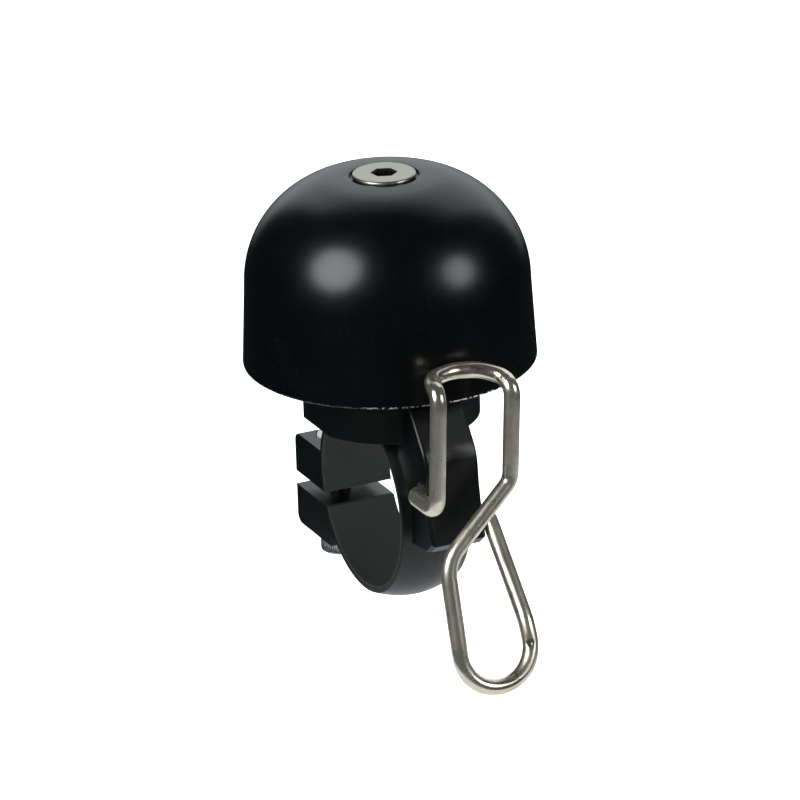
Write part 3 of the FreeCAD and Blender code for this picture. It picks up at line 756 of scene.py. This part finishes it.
for cad_name, name, mat, slot_name, radii in (
        ("sleeve", "spacer_sleeve", ALUMINIUM, "sleeve_alu", (2.15, 4.0)),
        ("dome_washer", "dome_seat_washer", NYLON, "washer_nylon", (2.6, 4.2)),
        ("base_washer", "base_seat_washer", NYLON, "washer_nylon", (2.15, 5.0))):
    low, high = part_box(cad_name)
    z0, z1 = low[2] / MM, high[2] / MM
    edge = min(0.22, (z1 - z0) * 0.25)
    outline_pts = rounded([(radii[0], z0), (radii[1], z0), (radii[1], z1), (radii[0], z1)],
                          [edge * 0.6, edge, edge, edge * 0.6], 4)
    part = finish_normals(lathe(name, outline_pts, [mat], segments=128))
    part.data.set_sharp_from_angle(angle=math.radians(50))
    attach(part, BASE)
    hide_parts(cad_name)

# ---------------------------------------------------------------- CAD nodes that stay

for cad_name, mat in (("bracket", MOULDED), ("bar_liner", RUBBER), ("thread_insert", BRASS)):
    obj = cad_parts[cad_name]
    for spot in obj.material_slots:
        spot.material = mat
    if not obj.material_slots:
        obj.data.materials.append(mat)

# ---------------------------------------------------------------- floor, light, camera

floor_mat, _, floor_bsdf = new_material("studio_floor", (0.86, 0.86, 0.86), roughness=0.8, specular=0.2)
floor_bsdf.inputs["Emission Color"].default_value = (0.97, 1.0, 1.0, 1.0)
floor_bsdf.inputs["Emission Strength"].default_value = 0.55
floor_mat.cycles.emission_sampling = "NONE"

# a flat disk that curves up into a wall
FLOOR_Z, FLOOR_R, SWEEP_R, WALL_TOP, FLOOR_STEPS = -0.055, 2.6, 1.0, 3.4, 96
sweep = [(0.4, FLOOR_Z), (FLOOR_R, FLOOR_Z)]
for k in range(1, 13):
    a = math.pi / 2 * k / 12
    sweep.append((FLOOR_R + SWEEP_R * math.sin(a), FLOOR_Z + SWEEP_R * (1 - math.cos(a))))
sweep.append((FLOOR_R + SWEEP_R, WALL_TOP))
verts, faces = [(0.0, 0.0, FLOOR_Z)], []
for k in range(FLOOR_STEPS):
    t = 2 * math.pi * k / FLOOR_STEPS
    verts += [(r * math.cos(t), r * math.sin(t), z) for r, z in sweep]
for k in range(FLOOR_STEPS):
    a, b = 1 + k * len(sweep), 1 + (k + 1) % FLOOR_STEPS * len(sweep)
    faces.append((0, a, b))
    faces += [(a + i, a + i + 1, b + i + 1, b + i) for i in range(len(sweep) - 1)]
mesh = bpy.data.meshes.new("studio_floor")
mesh.from_pydata(verts, [], faces)
mesh.materials.append(floor_mat)
mesh.shade_smooth()
floor = bpy.data.objects.new("studio_floor", mesh)
bpy.context.scene.collection.objects.link(floor)
floor.visible_glossy = False

TARGET = Vector((0.0, 0.0, 0.03))


def soft_light(name, direction, distance, size, glow, tint=(0.93, 0.98, 1.0), height=None, centre=TARGET):
    """A soft light in a direction from the bell, facing it. glow is how bright its face is."""
    data = bpy.data.lights.new(name, "AREA")
    if height is None:
        data.shape = "DISK"
        area = math.pi * size * size / 4
    else:
        data.shape = "RECTANGLE"
        data.size_y = height
        area = size * height
    data.size = size
    data.energy = glow * math.pi * area
    data.color = tint
    obj = bpy.data.objects.new(name, data)
    way = Vector(direction).normalized()
    obj.location = centre + way * distance
    obj.rotation_euler = way.to_track_quat("Z", "Y").to_euler()
    bpy.context.scene.collection.objects.link(obj)
    return obj


soft_light("left_softbox", (-0.806, -0.239, 0.542), 0.60, 0.42, 6.2)
soft_light("right_softbox", (0.578, -0.728, 0.366), 0.60, 0.27, 4.8)
soft_light("back_panel_low", (0.441, 0.750, 0.50), 1.60, 2.0, 0.36, height=1.5)
soft_light("back_panel_mid", (0.441, 0.750, 0.50), 1.62, 2.3, 0.32, height=2.1)
soft_light("back_panel_high", (0.441, 0.750, 0.50), 1.64, 2.6, 0.26, height=2.8)
soft_light("table_glow", (0.1, 0.0, -1.0), 0.080, 0.20, 0.75)
wash = soft_light("floor_wash", (0.12, 0.25, 1.0), 1.2, 1.0, 5.4, tint=(1.0, 0.995, 0.99), height=1.0)
wash.visible_glossy = False

world = bpy.data.worlds.new("studio")
world.use_nodes = True
background = world.node_tree.nodes["Background"]
background.inputs["Color"].default_value = (0.70, 0.90, 1.0, 1.0)
background.inputs["Strength"].default_value = 0.020
bpy.context.scene.world = world

camera_data = bpy.data.cameras.new("camera")
camera_data.sensor_width = 36.0
camera_data.lens = 244.3
camera_data.clip_start = 0.01
camera = bpy.data.objects.new("camera", camera_data)
right = Vector((0.900609, -0.433570, -0.030328))
up = Vector((0.182587, 0.314100, 0.931667))
forward = Vector((0.394417, 0.844605, -0.362046))
turn = Matrix((right, up, -forward)).transposed().to_4x4()
camera.matrix_world = Matrix.Translation(Vector((-0.262419, -0.564406, 0.253750))) @ turn
bpy.context.scene.collection.objects.link(camera)
bpy.context.scene.camera = camera

bpy.context.scene.view_settings.view_transform = "Standard"
bpy.context.scene.view_settings.look = "None"
bpy.context.scene.view_settings.exposure = 0.0
